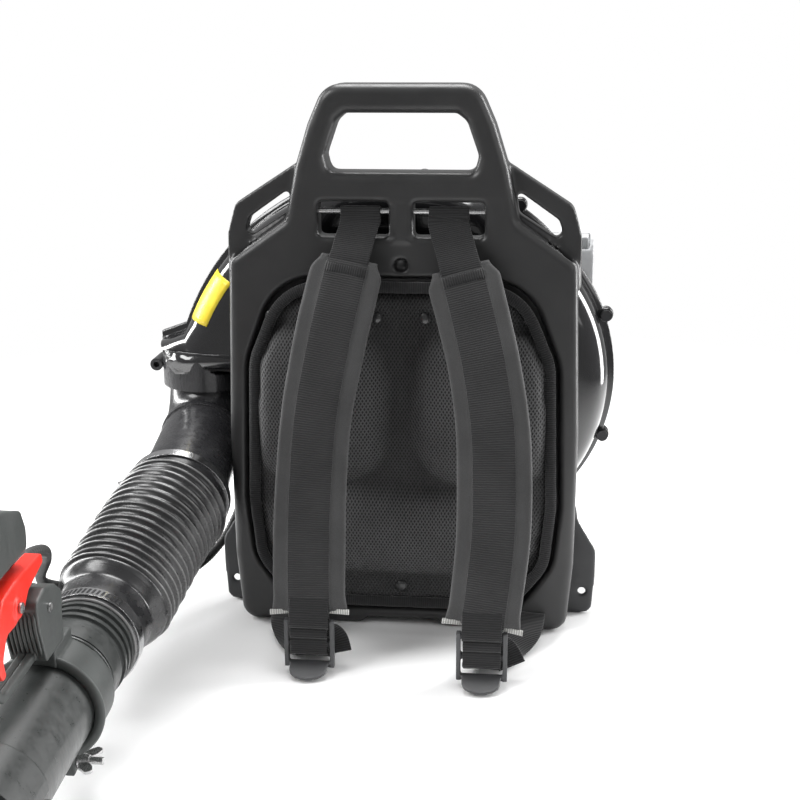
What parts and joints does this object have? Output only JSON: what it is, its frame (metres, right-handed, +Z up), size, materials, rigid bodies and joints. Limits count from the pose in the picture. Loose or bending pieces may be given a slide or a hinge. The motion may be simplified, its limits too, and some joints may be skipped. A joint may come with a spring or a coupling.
{
  "type": "backpack leaf blower",
  "caption": "Petrol backpack blower: moulded back frame with padded harness, scroll fan case, engine, bellows hose and wand with a pistol grip.",
  "frame": {"origin": "on the underside of the base tray, on the mid plane of the back frame, 100 mm behind the frame's front face", "axes": "+Z up; -Y is the way the wearer faces and the wand points; the wand is on the wearer's right, at -X"},
  "size_m": [0.5015, 1.2327, 0.526],
  "materials": {
    "frame_plastic": "satin moulded, fine grain",
    "tray_plastic": "satin moulded",
    "plated_steel": "zinc plated",
    "mesh_pad": "air mesh over foam",
    "rivet_plastic": "smooth",
    "strap_fabric": "woven nylon over foam",
    "webbing": "ribbed nylon webbing",
    "buckle_plastic": "fine grain",
    "mount_rubber": "matte",
    "grille_plastic": "satin",
    "case_gloss": "high gloss",
    "black_screws": "black oxide",
    "fan_plastic": "satin",
    "elbow_plastic": "semi gloss",
    "hose_rubber": "smooth flexible, semi gloss",
    "stainless": "polished band",
    "pipe_plastic": "semi gloss extruded",
    "grip_plastic": "satin with ribs",
    "red_plastic": "satin red",
    "conduit_plastic": "corrugated sleeve",
    "cast_aluminium": "as cast",
    "machined_steel": "turned",
    "plug_ceramic": "glazed",
    "plug_cap_metal": "shielded cap",
    "coil_epoxy": "potted",
    "filter_plastic": "satin",
    "filter_foam": "open cell foam",
    "primer_rubber": "translucent",
    "muffler_steel": "heat resistant paint",
    "guard_plastic": "light grey moulded",
    "recoil_plastic": "satin",
    "reel_nylon": "natural nylon",
    "rope_nylon": "braided cord",
    "tank_plastic": "translucent blow moulded",
    "cap_plastic": "ribbed",
    "fuel_line": "clear vinyl"
  },
  "bodies": {
    "root": {"back_frame": "frame_plastic", "base_tray": "tray_plastic", "frame_screws": "plated_steel", "strap_bars": "plated_steel", "back_pad": "mesh_pad", "pad_rivets": "rivet_plastic", "left_strap": "strap_fabric", "right_strap": "strap_fabric", "left_lower_webbing": "webbing", "right_lower_webbing": "webbing", "vibration_mounts": "mount_rubber", "intake_grille": "grille_plastic", "volute_front": "case_gloss", "volute_rear": "case_gloss", "volute_screws": "black_screws", "outlet_elbow": "elbow_plastic", "upper_hose_clamp": "stainless", "crankcase": "cast_aluminium", "engine_cylinder": "cast_aluminium", "carburetor": "cast_aluminium", "piston": "cast_aluminium", "main_bearings": "machined_steel", "connecting_rod": "machined_steel", "spark_plug": "plug_ceramic", "plug_cap": "plug_cap_metal", "ignition_coil": "coil_epoxy", "air_filter_base": "filter_plastic", "air_filter_cover": "filter_plastic", "air_filter_element": "filter_foam", "muffler": "muffler_steel", "muffler_guard": "guard_plastic", "recoil_housing": "recoil_plastic", "starter_rope": "rope_nylon", "fuel_tank": "tank_plastic", "fuel_lines": "fuel_line"},
    "crank": {"crankshaft": "machined_steel", "fan_wheel": "fan_plastic", "flywheel": "cast_aluminium"},
    "reel": {"starter_reel": "reel_nylon"},
    "puller": {"starter_grip": "recoil_plastic"},
    "hose": {"bellows_hose": "hose_rubber", "throttle_conduit": "conduit_plastic"},
    "wand": {"lower_hose_clamp": "stainless", "swivel_pipe": "pipe_plastic", "straight_pipe": "pipe_plastic", "nozzle": "pipe_plastic", "handle_saddle": "grip_plastic", "saddle_bolt": "plated_steel", "grip_left_shell": "grip_plastic", "grip_right_shell": "grip_plastic", "grip_screws": "plated_steel"},
    "trigger": {"throttle_trigger": "red_plastic"},
    "cruise": {"cruise_lever": "red_plastic"},
    "switch": {"stop_switch": "red_plastic"},
    "nut": {"wing_nut": "plated_steel"},
    "filler_cap": {"fuel_cap": "cap_plastic"},
    "choke": {"choke_lever": "red_plastic"},
    "primer": {"primer_bulb": "primer_rubber"},
    "buckle_left": {"left_buckle": "buckle_plastic"},
    "buckle_right": {"right_buckle": "buckle_plastic"}
  },
  "joints": [
    {"name": "engine_spin", "type": "hinge", "parent": "root", "child": "crank", "pos_m": [0.024, 0.1, 0.236], "axis": [0, 1, 0], "continuous": true},
    {"name": "starter_pull", "type": "slide", "parent": "root", "child": "puller", "axis": [1, 0, 0], "range_m": [0, 0.6], "stiffness_N_per_m": 12, "springref_m": -0.2, "deforming": ["starter_rope"]},
    {"name": "reel_turn", "type": "hinge", "parent": "root", "child": "reel", "pos_m": [0.024, 0.166, 0.236], "axis": [0, -1, 0], "range_deg": [0, 1020]},
    {"name": "hose_swing", "type": "hinge", "parent": "root", "child": "hose", "pos_m": [-0.211, -0.179, 0.134], "axis": [0, 0, 1], "range_deg": [-30, 30], "deforming": ["bellows_hose", "throttle_conduit"]},
    {"name": "hose_tilt", "type": "hinge", "parent": "hose", "child": "wand", "pos_m": [-0.231, -0.285, 0.098], "axis": [-1, 0, 0], "range_deg": [-30, 35]},
    {"name": "trigger_pull", "type": "hinge", "parent": "wand", "child": "trigger", "pos_m": [-0.234, -0.5006, 0.18779], "axis": [1, 0, 0], "range_deg": [0, 12], "stiffness_Nm_per_rad": 0.6, "springref_deg": -17.19},
    {"name": "cruise_set", "type": "hinge", "parent": "wand", "child": "cruise", "pos_m": [-0.252, -0.50835, 0.23533], "axis": [1, 0, 0], "range_deg": [0, 60]},
    {"name": "switch_slide", "type": "slide", "parent": "wand", "child": "switch", "axis": [0, -0.9949, 0.101], "range_m": [0, 0.005]},
    {"name": "nut_turn", "type": "hinge", "parent": "wand", "child": "nut", "pos_m": [-0.214, -0.42676, 0.02709], "axis": [1, 0, 0], "continuous": true},
    {"name": "cap_turn", "type": "hinge", "parent": "root", "child": "filler_cap", "pos_m": [-0.078, 0.104, 0.13], "axis": [0, 0, 1], "range_deg": [0, 300]},
    {"name": "choke_turn", "type": "hinge", "parent": "root", "child": "choke", "pos_m": [-0.04, 0.139, 0.316], "axis": [0, -1, 0], "range_deg": [0, 45]},
    {"name": "primer_push", "type": "slide", "parent": "root", "child": "primer", "axis": [0, 0, 1], "range_m": [0, 0.0035], "stiffness_N_per_m": 400, "springref_m": -0.002},
    {"name": "left_buckle_tilt", "type": "hinge", "parent": "root", "child": "buckle_left", "pos_m": [-0.074, -0.207, 0.049], "axis": [-1, 0, 0], "range_deg": [0, 35], "deforming": ["left_lower_webbing"]},
    {"name": "right_buckle_tilt", "type": "hinge", "parent": "root", "child": "buckle_right", "pos_m": [0.085, -0.219, 0.049], "axis": [-1, 0, 0], "range_deg": [0, 35], "deforming": ["right_lower_webbing"]}
  ],
  "couplings": [
    {"joint": "reel_turn", "follows": "starter_pull", "rad_per_m": 29.4}
  ]
}
